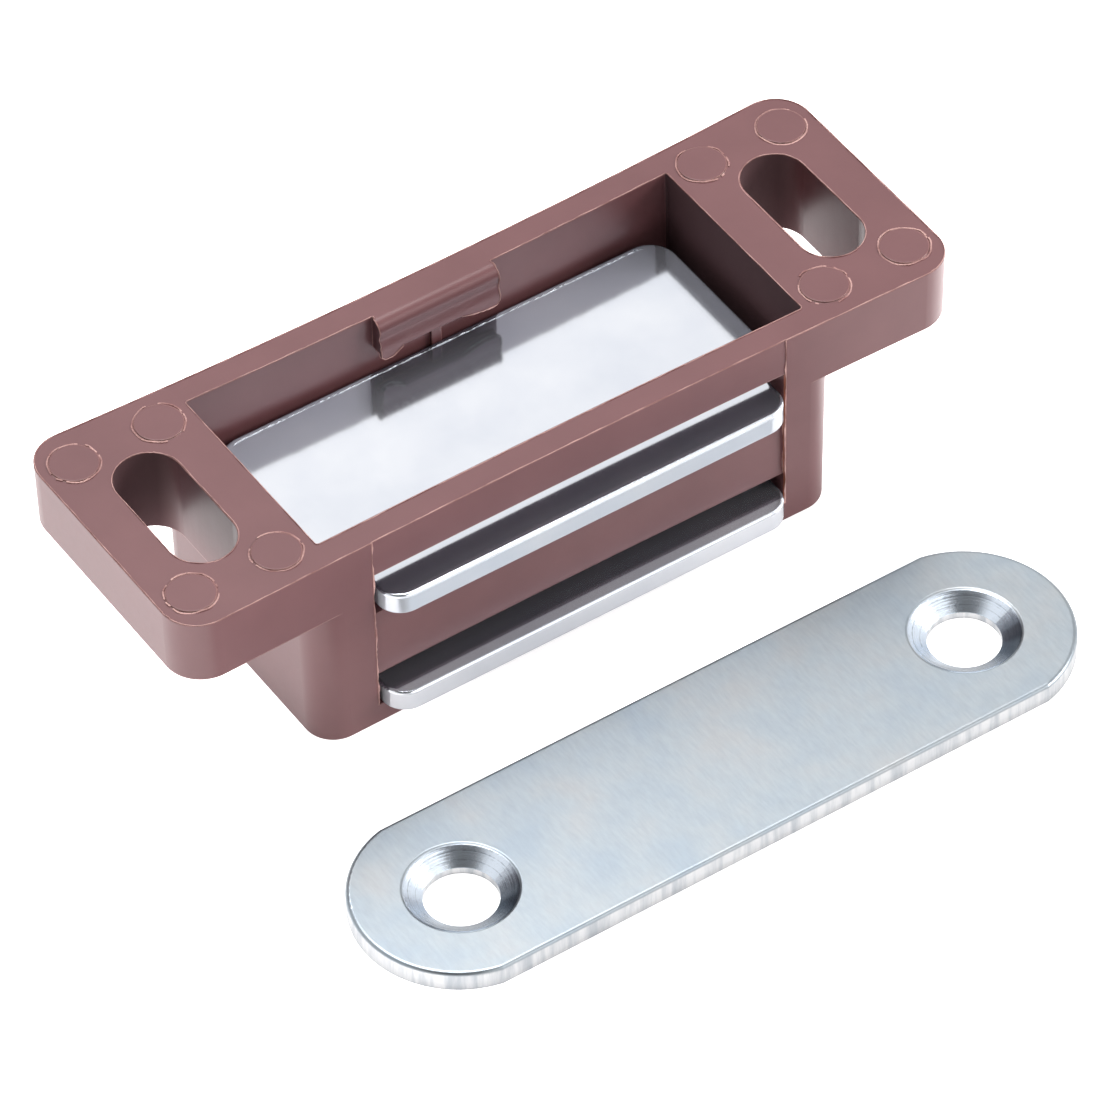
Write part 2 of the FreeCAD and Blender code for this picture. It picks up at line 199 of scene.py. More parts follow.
def make_turned_sink():
    """The strike's two countersinks: inside them, the tool's rings, and their side towards -Y, a mask for
    painted shade.
    """
    tree, given, result = new_group(
        "turned_sink",
        [("Reach", "NodeSocketFloat", SINK_RADIUS), ("Pitch", "NodeSocketFloat", 8000.0)],
        [("Inside", "NodeSocketFloat"), ("Rings", "NodeSocketFloat"), ("Near", "NodeSocketFloat")],
    )
    place = add_node(tree, "ShaderNodeTexCoord", (-1500, 0))
    centred = add_node(tree, "ShaderNodeVectorMath", (-1300, 0), operation="SUBTRACT")
    centred.inputs[1].default_value = (STRIKE_X, STRIKE_Y, 0)
    parts = add_node(tree, "ShaderNodeSeparateXYZ", (-1100, 0))
    either = add_node(tree, "ShaderNodeMath", (-900, 150), operation="ABSOLUTE")
    to_hole = add_node(tree, "ShaderNodeMath", (-700, 150), operation="SUBTRACT")
    to_hole.inputs[1].default_value = STRIKE_HOLE_PITCH / 2
    flat = add_node(tree, "ShaderNodeCombineXYZ", (-500, 100))
    radius = add_node(tree, "ShaderNodeVectorMath", (-300, 100), operation="LENGTH")
    less = add_node(tree, "ShaderNodeMath", (-100, 200), operation="SUBTRACT")
    inside = add_node(tree, "ShaderNodeMapRange", (100, 200))
    spread(inside, -0.05 * MM, 0.05 * MM)
    turns = add_node(tree, "ShaderNodeTexNoise", (-100, -100), noise_dimensions="1D")
    turns.inputs["Detail"].default_value = 3
    crumbs = add_node(tree, "ShaderNodeTexNoise", (-100, -400))
    crumbs.inputs["Scale"].default_value = 4200
    crumbs.inputs["Detail"].default_value = 3
    mixed = add_node(tree, "ShaderNodeMath", (200, -200), operation="MULTIPLY_ADD")
    mixed.inputs[1].default_value = 0.55
    link = tree.links.new
    link(place.outputs["Object"], centred.inputs[0])
    link(centred.outputs["Vector"], parts.inputs["Vector"])
    link(parts.outputs["X"], either.inputs[0])
    link(either.outputs["Value"], to_hole.inputs[0])
    link(to_hole.outputs["Value"], flat.inputs["X"])
    link(parts.outputs["Y"], flat.inputs["Y"])
    link(flat.outputs["Vector"], radius.inputs[0])
    link(given.outputs["Reach"], less.inputs[0])
    link(radius.outputs["Value"], less.inputs[1])
    link(less.outputs["Value"], inside.inputs["Value"])
    link(radius.outputs["Value"], turns.inputs["W"])
    link(given.outputs["Pitch"], turns.inputs["Scale"])
    link(place.outputs["Object"], crumbs.inputs["Vector"])
    link(crumbs.outputs["Fac"], mixed.inputs[0])
    link(turns.outputs["Fac"], mixed.inputs[2])
    near = add_node(tree, "ShaderNodeMapRange", (-700, -300), interpolation_type="SMOOTHSTEP")
    spread(near, 0.6 * MM, -2.4 * MM)
    link(parts.outputs["Y"], near.inputs["Value"])
    link(near.outputs["Result"], result.inputs["Near"])
    link(inside.outputs["Result"], result.inputs["Inside"])
    link(mixed.outputs["Value"], result.inputs["Rings"])
    return tree


def make_slot_drag_and_shade():
    """Walls of the two fixing slots: upright drag marks of the mould, and a mask of the walls that face -Y,
    for painted shade.
    """
    tree, given, result = new_group(
        "slot_drag_and_shade",
        [("Scale", "NodeSocketFloat", 1500.0)],
        [("Streaks", "NodeSocketFloat"), ("Far", "NodeSocketFloat")],
    )
    place = add_node(tree, "ShaderNodeTexCoord", (-1500, 0))
    pull = add_node(tree, "ShaderNodeVectorMath", (-1200, -200), operation="MULTIPLY")
    pull.inputs[1].default_value = (1.0, 1.0, 0.06)
    lines = add_node(tree, "ShaderNodeTexNoise", (-900, -200))
    lines.inputs["Detail"].default_value = 3
    centred = add_node(tree, "ShaderNodeVectorMath", (-1200, 200), operation="SUBTRACT")
    centred.inputs[1].default_value = (0, CATCH_Y, 0)
    sized = add_node(tree, "ShaderNodeVectorMath", (-1000, 200), operation="ABSOLUTE")
    parts = add_node(tree, "ShaderNodeSeparateXYZ", (-800, 200))
    beside = add_node(tree, "ShaderNodeMath", (-600, 300), operation="COMPARE")
    beside.inputs[1].default_value = SLOT_X
    beside.inputs[2].default_value = 2.4 * MM
    along = add_node(tree, "ShaderNodeMath", (-600, 100), operation="LESS_THAN")
    along.inputs[1].default_value = SLOT_REACH
    side = add_node(tree, "ShaderNodeNewGeometry", (-1200, -600))
    facing = add_node(tree, "ShaderNodeSeparateXYZ", (-1000, -600))
    tilt = add_node(tree, "ShaderNodeMath", (-800, -600), operation="ABSOLUTE")
    wall = add_node(tree, "ShaderNodeMath", (-600, -600), operation="LESS_THAN")
    wall.inputs[1].default_value = 0.5
    both = add_node(tree, "ShaderNodeMath", (-400, 200), operation="MULTIPLY")
    all_three = add_node(tree, "ShaderNodeMath", (-200, 0), operation="MULTIPLY")
    shown = add_node(tree, "ShaderNodeMath", (0, 0), operation="MULTIPLY")
    backward = add_node(tree, "ShaderNodeMapRange", (-600, -800))
    spread(backward, -0.15, -0.75, 0.08)
    far = add_node(tree, "ShaderNodeMath", (0, -300), operation="MULTIPLY")
    link = tree.links.new
    link(facing.outputs["Y"], backward.inputs["Value"])
    link(backward.outputs["Result"], far.inputs[0])
    link(all_three.outputs["Value"], far.inputs[1])
    link(far.outputs["Value"], result.inputs["Far"])
    link(place.outputs["Object"], pull.inputs[0])
    link(pull.outputs["Vector"], lines.inputs["Vector"])
    link(given.outputs["Scale"], lines.inputs["Scale"])
    link(place.outputs["Object"], centred.inputs[0])
    link(centred.outputs["Vector"], sized.inputs[0])
    link(sized.outputs["Vector"], parts.inputs["Vector"])
    link(parts.outputs["X"], beside.inputs[0])
    link(parts.outputs["Y"], along.inputs[0])
    link(side.outputs["Normal"], facing.inputs["Vector"])
    link(facing.outputs["Z"], tilt.inputs[0])
    link(tilt.outputs["Value"], wall.inputs[0])
    link(beside.outputs["Value"], both.inputs[0])
    link(along.outputs["Value"], both.inputs[1])
    link(both.outputs["Value"], all_three.inputs[0])
    link(wall.outputs["Value"], all_three.inputs[1])
    link(lines.outputs["Fac"], shown.inputs[0])
    link(all_three.outputs["Value"], shown.inputs[1])
    link(shown.outputs["Value"], result.inputs["Streaks"])
    return tree


def make_wall_places():
    """Masks of the pocket's far wall and right end, the panel between the tongues and its step."""
    tree, given, result = new_group(
        "wall_places",
        [("Depth", "NodeSocketFloat", CATCH_Y + 3 * MM)],
        [("Far", "NodeSocketFloat"), ("Panel", "NodeSocketFloat"), ("Step", "NodeSocketFloat"),
         ("End", "NodeSocketFloat")],
    )
    place = add_node(tree, "ShaderNodeTexCoord", (-1300, -200))
    parts = add_node(tree, "ShaderNodeSeparateXYZ", (-1100, -200))
    side = add_node(tree, "ShaderNodeNewGeometry", (-1300, -900))
    facing = add_node(tree, "ShaderNodeSeparateXYZ", (-1100, -900))
    behind = add_node(tree, "ShaderNodeMath", (-700, 300), operation="GREATER_THAN")
    short = add_node(tree, "ShaderNodeMath", (-700, 100), operation="LESS_THAN")
    short.inputs[1].default_value = POCKET_HALF_LENGTH
    far = add_node(tree, "ShaderNodeMath", (-400, 200), operation="MULTIPLY")
    hook = add_node(tree, "ShaderNodeMath", (-700, 500), operation="COMPARE")
    hook.inputs[1].default_value = 0.0
    hook.inputs[2].default_value = HOOK_HALF_LENGTH
    off_hook = add_node(tree, "ShaderNodeMath", (-400, 500), operation="GREATER_THAN")
    off_hook.inputs[0].default_value = 0.5
    bare_far = add_node(tree, "ShaderNodeMath", (-200, 300), operation="MULTIPLY")
    at_end = add_node(tree, "ShaderNodeMath", (-700, -1200), operation="COMPARE")
    at_end.inputs[1].default_value = POCKET_END_X
    at_end.inputs[2].default_value = 0.7 * MM
    end = add_node(tree, "ShaderNodeMath", (-400, -1200), operation="MULTIPLY")
    shallow = add_node(tree, "ShaderNodeMath", (-700, -1400), operation="LESS_THAN")
    shallow.inputs[1].default_value = 1.9 * MM
    ahead = add_node(tree, "ShaderNodeMath", (-700, -100), operation="LESS_THAN")
    ahead.inputs[1].default_value = 3.2 * MM
    height = add_node(tree, "ShaderNodeMath", (-700, -300), operation="COMPARE")
    height.inputs[1].default_value = PANEL_Z
    height.inputs[2].default_value = 2.4 * MM
    panel = add_node(tree, "ShaderNodeMath", (-400, -200), operation="MULTIPLY")
    beside = add_node(tree, "ShaderNodeMath", (-700, -500), operation="COMPARE")
    beside.inputs[1].default_value = STEP_X
    beside.inputs[2].default_value = 0.12 * MM
    left = add_node(tree, "ShaderNodeMath", (-700, -900), operation="LESS_THAN")
    left.inputs[1].default_value = -0.5
    near = add_node(tree, "ShaderNodeMath", (-400, -500), operation="MULTIPLY")
    step = add_node(tree, "ShaderNodeMath", (-200, -500), operation="MULTIPLY")
    link = tree.links.new
    link(place.outputs["Object"], parts.inputs["Vector"])
    link(side.outputs["Normal"], facing.inputs["Vector"])
    link(parts.outputs["Y"], behind.inputs[0])
    link(given.outputs["Depth"], behind.inputs[1])
    link(parts.outputs["X"], short.inputs[0])
    link(behind.outputs["Value"], far.inputs[0])
    link(short.outputs["Value"], far.inputs[1])
    link(parts.outputs["Y"], ahead.inputs[0])
    link(parts.outputs["Z"], height.inputs[0])
    link(ahead.outputs["Value"], panel.inputs[0])
    link(height.outputs["Value"], panel.inputs[1])
    link(parts.outputs["X"], beside.inputs[0])
    link(facing.outputs["X"], left.inputs[0])
    link(beside.outputs["Value"], near.inputs[0])
    link(parts.outputs["Y"], shallow.inputs[0])
    link(shallow.outputs["Value"], near.inputs[1])
    link(parts.outputs["X"], hook.inputs[0])
    link(hook.outputs["Value"], off_hook.inputs[1])
    link(far.outputs["Value"], bare_far.inputs[0])
    link(off_hook.outputs["Value"], bare_far.inputs[1])
    link(parts.outputs["X"], at_end.inputs[0])
    link(at_end.outputs["Value"], end.inputs[0])
    link(left.outputs["Value"], end.inputs[1])
    link(end.outputs["Value"], result.inputs["End"])
    link(near.outputs["Value"], step.inputs[0])
    link(left.outputs["Value"], step.inputs[1])
    link(bare_far.outputs["Value"], result.inputs["Far"])
    link(panel.outputs["Value"], result.inputs["Panel"])
    link(step.outputs["Value"], result.inputs["Step"])
    return tree


rounded_rim_highlight = make_rounded_rim_highlight()
soft_mottle = make_soft_mottle()
drawn_grain = make_drawn_grain()
turned_sink = make_turned_sink()
slot_drag_and_shade = make_slot_drag_and_shade()
wall_places = make_wall_places()


# Finishes

def brown_plastic():
    """Satin red-brown moulding: sharp edges painted paler as a painted highlight, dragged slot walls, a
    painted warm glow in the thin step.

    The photograph's dark slot walls and pocket end are painted shade, by place. What the steel mirrors of
    this
    plastic is painted too: glossy rays get tone and banded and a dull finish, tuned to the photograph.
    """
    material, tree, skin = new_material("brown_plastic")
    mottle = use_group(tree, soft_mottle, (-1300, 100), Broad=150.0, Fine=2600.0)
    rim = use_group(tree, rounded_rim_highlight, (-1300, -300), Radius=0.00014, Breakup=0.5)
    drag_and_shade = use_group(tree, slot_drag_and_shade, (-1300, -550), Scale=1500.0)
    wall = use_group(tree, wall_places, (-1300, 800), Depth=CATCH_Y + 3 * MM)
    path = add_node(tree, "ShaderNodeLightPath", (-1300, 1200))
    colour = ramp(tree, (-1050, 200), [(0.3, (0.186, 0.075, 0.079)), (0.7, (0.218, 0.092, 0.096))])
    # painted highlight: the sharp edges are painted paler
    painted_edge_highlight = add_node(tree, "ShaderNodeMix", (-750, 200), data_type="RGBA")
    painted_edge_highlight.inputs["B"].default_value = (0.56, 0.28, 0.25, 1)
    # painted glow: the thin step beside the openings is painted warm, as if lit through
    warm = add_node(tree, "ShaderNodeMix", (-550, 200), data_type="RGBA")
    warm.inputs["B"].default_value = (0.62, 0.22, 0.14, 1)
    # painted shade: the slot walls that face -Y and the pocket's right end wall are painted near black
    painted_shade_mask = add_node(tree, "ShaderNodeMath", (-1000, 0), operation="MAXIMUM")
    shade = add_node(tree, "ShaderNodeMath", (-750, 0), operation="MULTIPLY")
    shade.inputs[1].default_value = 0.6
    painted_shade = add_node(tree, "ShaderNodeMix", (-350, 200), data_type="RGBA")
    painted_shade.inputs["B"].default_value = (0.02, 0.012, 0.016, 1)
    # painted reflection: glossy rays see the plastic as near-black navy, grey or banded, by place, instead
    # of its brown
    tone = add_node(tree, "ShaderNodeMix", (-750, 500), data_type="RGBA")
    tone.inputs["A"].default_value = (0.004, 0.006, 0.022, 1)
    tone.inputs["B"].default_value = (0.30, 0.30, 0.34, 1)
    banded = add_node(tree, "ShaderNodeMix", (-550, 500), data_type="RGBA")
    banded.inputs["B"].default_value = (0.24, 0.23, 0.24, 1)
    mirror_share = add_node(tree, "ShaderNodeMath", (-550, 800), operation="MULTIPLY")
    mirror_share.inputs[1].default_value = 0.85
    mirrored = add_node(tree, "ShaderNodeMix", (-150, 200), data_type="RGBA")
    bright = add_node(tree, "ShaderNodeMath", (-1050, 900), operation="MAXIMUM")
    lit_walls = add_node(tree, "ShaderNodeMath", (-1050, 700), operation="MAXIMUM")
    rest = add_node(tree, "ShaderNodeMath", (-850, 900), operation="SUBTRACT")
    rest.inputs[0].default_value = 1.0
    dull_mirrored = add_node(tree, "ShaderNodeMath", (-650, 900), operation="MULTIPLY")
    dull = add_node(tree, "ShaderNodeMath", (-450, 900), operation="MAXIMUM")
    satin = add_node(tree, "ShaderNodeMix", (-250, -50), data_type="FLOAT")
    satin.inputs["B"].default_value = 0.85
    rough = add_node(tree, "ShaderNodeMapRange", (-650, -50))
    spread(rough, 0.0, 1.0, 0.30, 0.36)
    bump = add_node(tree, "ShaderNodeBump", (-350, -250))
    bump.inputs["Strength"].default_value = 0.02
    bump.inputs["Distance"].default_value = 0.00002
    height = add_node(tree, "ShaderNodeMath", (-500, -400), operation="MULTIPLY_ADD")
    height.inputs[1].default_value = 30.0
    link = tree.links.new
    link(mottle.outputs["Cloud"], colour.inputs["Fac"])
    link(colour.outputs["Color"], painted_edge_highlight.inputs["A"])
    link(rim.outputs["Rim"], painted_edge_highlight.inputs["Factor"])
    link(painted_edge_highlight.outputs["Result"], warm.inputs["A"])
    link(wall.outputs["Step"], warm.inputs["Factor"])
    link(drag_and_shade.outputs["Far"], painted_shade_mask.inputs[0])
    link(wall.outputs["End"], painted_shade_mask.inputs[1])
    link(painted_shade_mask.outputs["Value"], shade.inputs[0])
    link(warm.outputs["Result"], painted_shade.inputs["A"])
    link(shade.outputs["Value"], painted_shade.inputs["Factor"])
    link(wall.outputs["Far"], lit_walls.inputs[0])
    link(wall.outputs["End"], lit_walls.inputs[1])
    link(lit_walls.outputs["Value"], tone.inputs["Factor"])
    link(tone.outputs["Result"], banded.inputs["A"])
    link(wall.outputs["Panel"], banded.inputs["Factor"])
    link(path.outputs["Is Glossy Ray"], mirror_share.inputs[0])
    link(mirror_share.outputs["Value"], mirrored.inputs["Factor"])
    link(painted_shade.outputs["Result"], mirrored.inputs["A"])
    link(banded.outputs["Result"], mirrored.inputs["B"])
    link(mirrored.outputs["Result"], skin.inputs["Base Color"])
    link(lit_walls.outputs["Value"], bright.inputs[0])
    link(wall.outputs["Panel"], bright.inputs[1])
    link(bright.outputs["Value"], rest.inputs[1])
    link(path.outputs["Is Glossy Ray"], dull_mirrored.inputs[0])
    link(rest.outputs["Value"], dull_mirrored.inputs[1])
    link(dull_mirrored.outputs["Value"], dull.inputs[0])
    link(painted_shade_mask.outputs["Value"], dull.inputs[1])
    link(mottle.outputs["Speck"], rough.inputs["Value"])
    link(rough.outputs["Result"], satin.inputs["A"])
    link(dull.outputs["Value"], satin.inputs["Factor"])
    link(satin.outputs["Result"], skin.inputs["Roughness"])
    link(drag_and_shade.outputs["Streaks"], height.inputs[0])
    link(mottle.outputs["Speck"], height.inputs[2])
    link(height.outputs["Value"], bump.inputs["Height"])
    link(rim.outputs["Normal"], bump.inputs["Normal"])
    link(bump.outputs["Normal"], skin.inputs["Normal"])
    return material


def pale_flash():
    """Thin torn edge of the same plastic, paler where light comes through it.

    Glossy rays get a near black, so that the flash doesn't show as pale lines in the steel.
    """
    material, tree, skin = new_material("pale_flash")
    mottle = use_group(tree, soft_mottle, (-900, 0), Broad=700.0, Fine=3000.0)
    colour = ramp(tree, (-600, 100), [(0.35, (0.34, 0.15, 0.14)), (0.6, (0.74, 0.44, 0.40))])
    path = add_node(tree, "ShaderNodeLightPath", (-600, 400))
    # painted reflection: glossy rays see the flash as near black
    mirrored = add_node(tree, "ShaderNodeMix", (-250, 100), data_type="RGBA")
    mirrored.inputs["B"].default_value = (0.02, 0.016, 0.02, 1)
    rough = add_node(tree, "ShaderNodeMapRange", (-400, -150))
    spread(rough, 0.0, 1.0, 0.35, 0.6)
    link = tree.links.new
    link(mottle.outputs["Cloud"], colour.inputs["Fac"])
    link(path.outputs["Is Glossy Ray"], mirrored.inputs["Factor"])
    link(colour.outputs["Color"], mirrored.inputs["A"])
    link(mirrored.outputs["Result"], skin.inputs["Base Color"])
    link(mottle.outputs["Speck"], rough.inputs["Value"])
    link(rough.outputs["Result"], skin.inputs["Roughness"])
    return material


def pole_steel():
    """Bright plated steel, paler and less metallic on upright cut faces, rougher to diffuse rays."""
    material, tree, skin = new_material("pole_steel")
    side = add_node(tree, "ShaderNodeNewGeometry", (-1200, 500))
    parts = add_node(tree, "ShaderNodeSeparateXYZ", (-1000, 500))
    flat = add_node(tree, "ShaderNodeMath", (-800, 500), operation="ABSOLUTE")
    sheared = add_node(tree, "ShaderNodeMapRange", (-600, 500))
    spread(sheared, 0.15, 0.6, 0.45, 0.91)
    mottle = use_group(tree, soft_mottle, (-900, 100), Broad=180.0, Fine=3500.0)
    grain = use_group(tree, drawn_grain, (-900, -100), Stretch=(40.0, 1.2, 40.0), Scale=220.0)
    rim = use_group(tree, rounded_rim_highlight, (-900, -350), Radius=0.0001, Breakup=0.2)
    colour = ramp(tree, (-650, 200), [(0.3, (0.79, 0.82, 0.89)), (0.7, (0.89, 0.91, 0.96))])
    rough = add_node(tree, "ShaderNodeMapRange", (-650, -50))
    spread(rough, 0.0, 1.0, 0.06, 0.15)
    path = add_node(tree, "ShaderNodeLightPath", (-900, -700))
    thrown = add_node(tree, "ShaderNodeMix", (-350, -50), data_type="FLOAT")
    thrown.inputs["B"].default_value = 0.45
    bump = add_node(tree, "ShaderNodeBump", (-350, -250))
    bump.inputs["Strength"].default_value = 0.06
    bump.inputs["Distance"].default_value = 0.00001
    link = tree.links.new
    link(mottle.outputs["Cloud"], colour.inputs["Fac"])
    link(colour.outputs["Color"], skin.inputs["Base Color"])
    link(side.outputs["Normal"], parts.inputs["Vector"])
    link(parts.outputs["Z"], flat.inputs[0])
    link(flat.outputs["Value"], sheared.inputs["Value"])
    link(sheared.outputs["Result"], skin.inputs["Metallic"])
    link(grain.outputs["Lines"], rough.inputs["Value"])
    link(rough.outputs["Result"], thrown.inputs["A"])
    link(path.outputs["Is Diffuse Ray"], thrown.inputs["Factor"])
    link(thrown.outputs["Result"], skin.inputs["Roughness"])
    link(grain.outputs["Lines"], bump.inputs["Height"])
    link(rim.outputs["Normal"], bump.inputs["Normal"])
    link(bump.outputs["Normal"], skin.inputs["Normal"])
    return material


def zinc_plate():
    """Blue-white zinc on cold-rolled steel: fine cross grain, faint clouds and turned sinks.

    The sinks' side towards -Y is painted darker: painted shade.
    """
    material, tree, skin = new_material("zinc_plate")
    skin.inputs["Metallic"].default_value = 1.0
    mottle = use_group(tree, soft_mottle, (-1200, 100), Broad=260.0, Fine=2200.0)
    grain = use_group(tree, drawn_grain, (-1200, -100), Stretch=(5.0, 1.0, 5.0), Scale=950.0)
    rim = use_group(tree, rounded_rim_highlight, (-1200, -350), Radius=0.0001, Breakup=0.2)
    sink = use_group(tree, turned_sink, (-1200, -600), Reach=SINK_RADIUS, Pitch=8000.0)
    stops = [(0.3, (0.30, 0.345, 0.39)), (0.5, (0.33, 0.365, 0.395)), (0.7, (0.355, 0.37, 0.385))]
    colour = ramp(tree, (-950, 250), stops)
    lined = ramp(tree, (-950, -20), [(0.3, grey(0.90)), (0.7, grey(1.0))])
    hatched = add_node(tree, "ShaderNodeMix", (-650, 200), data_type="RGBA", blend_type="MULTIPLY")
    hatched.inputs["Factor"].default_value = 1.0
    cone = ramp(tree, (-650, 500), [(0.4, (0.33, 0.38, 0.45)), (0.7, (0.70, 0.77, 0.86))])
    # painted shade: the sinks' side towards -Y turns dark
    turned = add_node(tree, "ShaderNodeMix", (-450, 500), data_type="RGBA")
    turned.inputs["B"].default_value = (0.11, 0.135, 0.165, 1)
    plated = add_node(tree, "ShaderNodeMix", (-350, 250), data_type="RGBA")
    side = add_node(tree, "ShaderNodeNewGeometry", (-1200, 800))
    parts = add_node(tree, "ShaderNodeSeparateXYZ", (-1000, 800))
    upright = add_node(tree, "ShaderNodeMapRange", (-800, 800))
    spread(upright, 0.55, 0.25)
    shear = use_group(tree, drawn_grain, (-1200, 600), Stretch=(6.0, 6.0, 0.6), Scale=260.0)
    cut = ramp(tree, (-650, 750), [(0.35, (0.43, 0.45, 0.48)), (0.6, (0.64, 0.64, 0.65))])
    edged = add_node(tree, "ShaderNodeMix", (-150, 350), data_type="RGBA")
    rough = add_node(tree, "ShaderNodeMapRange", (-650, -50))
    spread(rough, 0.0, 1.0, 0.29, 0.37)
    finish = add_node(tree, "ShaderNodeMix", (-350, 0), data_type="FLOAT")
    finish.inputs["B"].default_value = 0.24
    height = add_node(tree, "ShaderNodeMix", (-650, -450), data_type="FLOAT")
    low = add_node(tree, "ShaderNodeMath", (-900, -450), operation="MULTIPLY")
    low.inputs[1].default_value = 0.4
    bump = add_node(tree, "ShaderNodeBump", (-350, -250))
    bump.inputs["Strength"].default_value = 0.4
    bump.inputs["Distance"].default_value = 0.00002
    link = tree.links.new
    link(mottle.outputs["Cloud"], colour.inputs["Fac"])
    link(grain.outputs["Lines"], lined.inputs["Fac"])
    link(colour.outputs["Color"], hatched.inputs["A"])
    link(lined.outputs["Color"], hatched.inputs["B"])
    link(sink.outputs["Rings"], cone.inputs["Fac"])
    link(hatched.outputs["Result"], plated.inputs["A"])
    link(cone.outputs["Color"], turned.inputs["A"])
    link(sink.outputs["Near"], turned.inputs["Factor"])
    link(turned.outputs["Result"], plated.inputs["B"])
    link(sink.outputs["Inside"], plated.inputs["Factor"])
    link(side.outputs["Normal"], parts.inputs["Vector"])
    link(parts.outputs["Z"], upright.inputs["Value"])
    link(shear.outputs["Lines"], cut.inputs["Fac"])
    link(upright.outputs["Result"], edged.inputs["Factor"])
    link(plated.outputs["Result"], edged.inputs["A"])
    link(cut.outputs["Color"], edged.inputs["B"])
    link(edged.outputs["Result"], skin.inputs["Base Color"])
    link(mottle.outputs["Speck"], rough.inputs["Value"])
    link(rough.outputs["Result"], finish.inputs["A"])
    link(sink.outputs["Inside"], finish.inputs["Factor"])
    link(finish.outputs["Result"], skin.inputs["Roughness"])
    link(grain.outputs["Lines"], low.inputs[0])
    link(low.outputs["Value"], height.inputs["A"])
    link(sink.outputs["Rings"], height.inputs["B"])
    link(sink.outputs["Inside"], height.inputs["Factor"])
    link(height.outputs["Result"], bump.inputs["Height"])
    link(rim.outputs["Normal"], bump.inputs["Normal"])
    link(bump.outputs["Normal"], skin.inputs["Normal"])
    return material


def ferrite():
    """Dull dark ceramic magnet."""
    material, tree, skin = new_material("ferrite")
    mottle = use_group(tree, soft_mottle, (-700, 0), Broad=400.0, Fine=3000.0)
    colour = ramp(tree, (-400, 100), [(0.3, grey(0.018)), (0.7, grey(0.035))])
    rough = add_node(tree, "ShaderNodeMapRange", (-400, -150))
    spread(rough, 0.0, 1.0, 0.5, 0.75)
    link = tree.links.new
    link(mottle.outputs["Cloud"], colour.inputs["Fac"])
    link(colour.outputs["Color"], skin.inputs["Base Color"])
    link(mottle.outputs["Speck"], rough.inputs["Value"])
    link(rough.outputs["Result"], skin.inputs["Roughness"])
    return material


def dress(node, material):
    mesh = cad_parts[node].data
    mesh.materials.clear()
    mesh.materials.append(material)


plastic = brown_plastic()
flash = pale_flash()
steel = pole_steel()
zinc = zinc_plate()
dress("housing", plastic)
dress("upper_pole_plate", steel)
dress("lower_pole_plate", steel)
dress("magnet", ferrite())
dress("strike_plate", zinc)


# Moulding flash and burrs: thin torn fins that stand on the sharp edges

def add_piece(name, shape, material, node):
    mesh = bpy.data.meshes.new(name)
    bmesh.ops.recalc_face_normals(shape, faces=shape.faces)
    shape.to_mesh(mesh)
    shape.free()
    mesh.materials.append(material)
    piece = bpy.data.objects.new(name, mesh)
    bpy.context.scene.collection.objects.link(piece)
    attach(piece, node)


def welded(node):
    """Copy of a solid's mesh with its doubled corners merged."""
    shape = bmesh.new()
    shape.from_mesh(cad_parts[node].data)
    bmesh.ops.remove_doubles(shape, verts=shape.verts, dist=1e-6)
    return shape


def sharp_edges(shape, test):
    """Edges between two faces that meet at a clear angle, whose two ends pass a test."""
    found = []
    for edge in shape.edges:
        if len(edge.link_faces) != 2 or edge.calc_face_angle(0.0) < CLEAR_ANGLE:
            continue
        if all(test(v.co) for v in edge.verts):
            found.append(edge)
    return found


def raggedness(place, scale, seed):
    """Uneven height from 0 to about 1, with gaps where nothing stands."""
    wave = noise.noise(place * scale + Vector((seed, seed, seed)))
    fine = noise.noise(place * scale * 4.0 - Vector((seed, 0.0, seed)))
    return max(0.0, min(1.0, 0.5 + 1.1 * wave + 0.5 * fine))


def add_fins(shape, edges, rise, inset, height, thickness, seed,
             step=0.22 * MM, wobble=0.0, gaps=0.0, tear=900.0, facing=None):
    """Stand a thin ragged strip on each edge.

    rise gives the direction a fin grows in and inset the way its foot is moved, both for one edge.
    wobble sways the foot sideways, gaps is the raggedness under which no fin stands, and tear is
    how fine the torn upper edge is. A straight strip has no outside, so facing gives it one:
    without it, Blender picks either side, and a run differs from the next.
    """
    strips = bmesh.new()
    feet = {}
    ways = {}

    def foot(point, up):
        key = tuple(round(c * 1e6) for c in point)
        if key not in feet:
            sway = noise.noise_vector(point * 1400.0 + Vector((0.0, seed, 0.0))) * wobble
            feet[key] = strips.verts.new((point.x + sway.x, point.y + sway.y, point.z))
            ways[feet[key]] = up
        return feet[key]

    for edge in edges:
        start, end = [v.co + inset(edge) for v in edge.verts]
        pieces = max(1, round((end - start).length / step))
        chain = [foot(start.lerp(end, i / pieces), rise(edge)) for i in range(pieces + 1)]
        for a, b in zip(chain, chain[1:]):
            if gaps and raggedness((a.co + b.co) / 2, 700.0, seed) < gaps:
                continue
            if a is not b and strips.edges.get((a, b)) is None:
                strips.edges.new((a, b))
    grown = bmesh.ops.extrude_edge_only(strips, edges=strips.edges[:])
    for vert in [g for g in grown["geom"] if isinstance(g, bmesh.types.BMVert)]:
        below = [e.other_vert(vert) for e in vert.link_edges if e.other_vert(vert) in ways]
        if below:
            share = 0.08 + raggedness(vert.co, tear, seed)
            vert.co = vert.co + ways[below[0]] * height * min(1.0, share)
    bmesh.ops.recalc_face_normals(strips, faces=strips.faces)
    if facing is not None:
        strips.normal_update()
        bmesh.ops.reverse_faces(strips, faces=[f for f in strips.faces if f.normal.dot(facing) < 0])
        strips.normal_update()
    bmesh.ops.solidify(strips, geom=strips.faces[:] + strips.edges[:] + strips.verts[:], thickness=thickness)
    merge_into(shape, strips)


